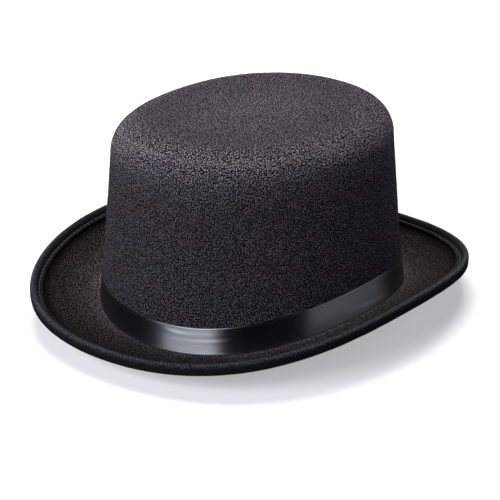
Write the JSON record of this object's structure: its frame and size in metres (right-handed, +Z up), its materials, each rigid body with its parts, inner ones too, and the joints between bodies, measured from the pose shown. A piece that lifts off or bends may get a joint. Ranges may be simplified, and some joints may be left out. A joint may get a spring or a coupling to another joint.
{
  "type": "top hat",
  "caption": "Low felt top hat with a dished oval brim, bound and wired edge, satin ribbon, and a lined crown with a sweatband.",
  "frame": {"origin": "middle of the bounding box, on the surface that the hat stands on", "axes": "+Z up through the crown's tip, -Y to the front of the brim, +X to the wearer's left"},
  "size_m": [0.2566, 0.3016, 0.1317],
  "materials": {
    "crown_felt": "matt pressed felt, fine grey speckle",
    "brim_felt": "matt pressed felt, finer and browner than the crown",
    "binding_tape": "matt ribbed tape",
    "ribbon_satin": "glossy satin",
    "thread": "matt twisted thread",
    "brim_wire": "drawn wire",
    "wire_joiner": "plain tube",
    "crown_form": "moulded, matt",
    "lining_satin": "soft satin",
    "sweatband": "matt ribbed cotton",
    "size_tab": "blank woven tab"
  },
  "bodies": {
    "root": {"crown_felt": "crown_felt", "crown_form": "crown_form", "side_lining": "lining_satin", "tip_lining": "lining_satin", "brim_felt": "brim_felt", "brim_wire": "brim_wire", "wire_joiner": "wire_joiner", "edge_binding": "binding_tape", "binding_stitches": "thread", "hat_band": "ribbon_satin", "band_keeper": "ribbon_satin", "keeper_stitches": "thread", "headline_stitches": "thread", "sweatband": "sweatband", "sweatband_reed": "sweatband", "sweatband_stitches": "thread", "sweatband_bow": "ribbon_satin", "size_tab": "size_tab"}
  },
  "joints": []
}
